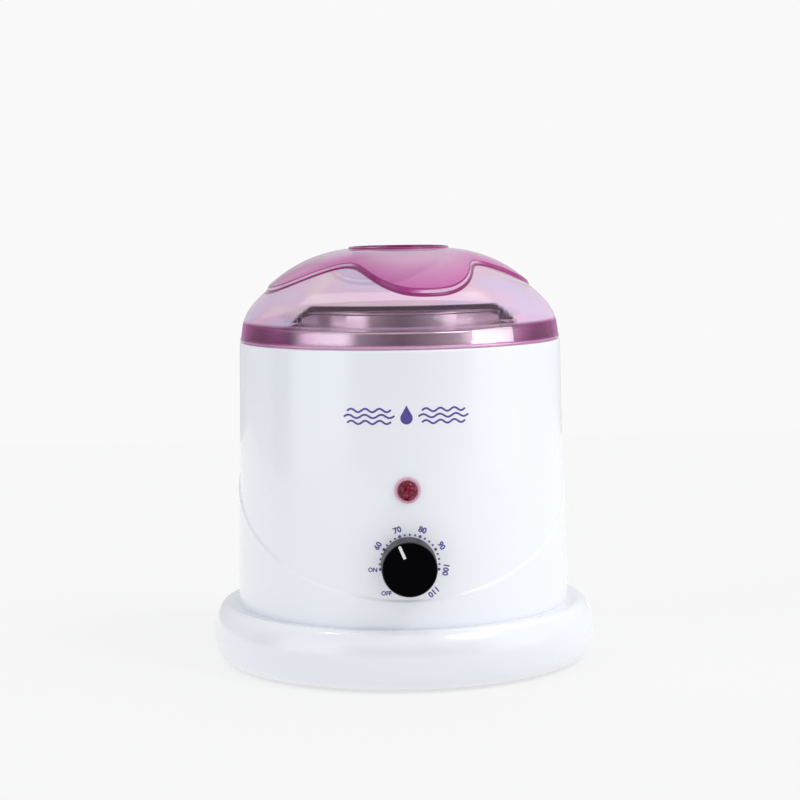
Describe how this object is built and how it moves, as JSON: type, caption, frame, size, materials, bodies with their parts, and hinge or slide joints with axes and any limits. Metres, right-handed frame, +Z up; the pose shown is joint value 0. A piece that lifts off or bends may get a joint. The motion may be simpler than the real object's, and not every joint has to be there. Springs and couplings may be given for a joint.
{
  "type": "wax warmer pot",
  "caption": "Round table-top wax warmer with a tilted-ledge shell, flared base, thermostat knob, pilot lamp, lift-out aluminium pot with wire bail, and a clear lid with a lobed grip.",
  "frame": {"origin": "on the floor under the middle of the housing, in the plane of the feet", "axes": "+Z up along the axis of the housing, -Y towards the knob and lamp, +X to the right as seen from the front"},
  "size_m": [0.178, 0.1796, 0.1923],
  "materials": {
    "white_gloss": "injection-moulded, polished white",
    "base_plate_black": "fine spark-eroded texture",
    "foot_rubber": "soft matt rubber",
    "zinc_steel": "bright zinc plate",
    "brushed_aluminium": "spun and brushed",
    "copper_capillary": "drawn copper",
    "silicone_gasket": "heat-proof silicone",
    "mica_band": "steel sheath over mica",
    "fibre_wool": "needled fibre blanket",
    "phenolic_black": "moulded phenolic",
    "thermostat_ceramic": "pressed steatite",
    "knob_black": "satin black moulding",
    "pointer_white": "filled white line",
    "lamp_red": "clear red, faceted",
    "lamp_glass": "clear neon envelope",
    "wire_insulation": "glass-fibre sleeved",
    "gland_rubber": "soft black",
    "bail_steel": "drawn steel wire, dark",
    "lid_pink_clear": "clear tinted acrylic with a pearl sheen"
  },
  "bodies": {
    "housing": {"base_ring": "white_gloss", "body_shell": "white_gloss", "bottom_plate": "base_plate_black", "rubber_foot_1": "foot_rubber", "rubber_foot_2": "foot_rubber", "rubber_foot_3": "foot_rubber", "rubber_foot_4": "foot_rubber", "case_screw_1": "zinc_steel", "case_screw_2": "zinc_steel", "case_screw_3": "zinc_steel", "case_screw_4": "zinc_steel", "chamber_screw_1": "zinc_steel", "chamber_screw_2": "zinc_steel", "chamber_screw_3": "zinc_steel", "heater_clamp_screw": "zinc_steel", "heater_terminal_1": "zinc_steel", "heater_terminal_2": "zinc_steel", "sensor_bulb_clip": "zinc_steel", "thermostat_nut": "zinc_steel", "lamp_retainer": "zinc_steel", "heating_chamber": "brushed_aluminium", "chamber_collar": "brushed_aluminium", "sensor_bulb": "copper_capillary", "capillary_tube": "copper_capillary", "chamber_gasket": "silicone_gasket", "heater_band": "mica_band", "insulation_sleeve": "fibre_wool", "thermal_cutout": "phenolic_black", "cord_gland_nut": "phenolic_black", "thermostat_body": "thermostat_ceramic", "terminal_block": "thermostat_ceramic", "indicator_lens": "lamp_red", "neon_lamp": "lamp_glass", "wire_live": "wire_insulation", "wire_thermostat": "wire_insulation", "wire_heater": "wire_insulation", "wire_neutral": "wire_insulation", "wire_lamp": "wire_insulation", "cord_gland": "gland_rubber"},
    "knob": {"knob": "knob_black", "knob_pointer": "pointer_white", "thermostat_shaft": "zinc_steel"},
    "pot": {"wax_pot": "brushed_aluminium", "pot_ear_left": "zinc_steel", "pot_ear_right": "zinc_steel", "ear_rivet_left_front": "zinc_steel", "ear_rivet_left_rear": "zinc_steel", "ear_rivet_right_front": "zinc_steel", "ear_rivet_right_rear": "zinc_steel"},
    "bail": {"bail_wire": "bail_steel"},
    "lid": {"lid": "lid_pink_clear"}
  },
  "joints": [
    {"name": "knob_turn", "type": "hinge", "parent": "housing", "child": "knob", "pos_m": [0, -0.083, 0.0555], "axis": [0, -1, 0], "range_deg": [-164, 116]},
    {"name": "pot_lift", "type": "slide", "parent": "housing", "child": "pot", "axis": [0, 0, 1], "range_m": [0, 0.1]},
    {"name": "lid_lift", "type": "slide", "parent": "pot", "child": "lid", "axis": [0, 0, 1], "range_m": [0, 0.13]},
    {"name": "bail_swing", "type": "hinge", "parent": "pot", "child": "bail", "pos_m": [0, 0, 0.1601], "axis": [-1, 0, 0], "range_deg": [0, 163.9]}
  ],
  "couplings": [
    {"joint": "bail_swing", "follows": "lid_lift", "rad_per_m": 22}
  ]
}
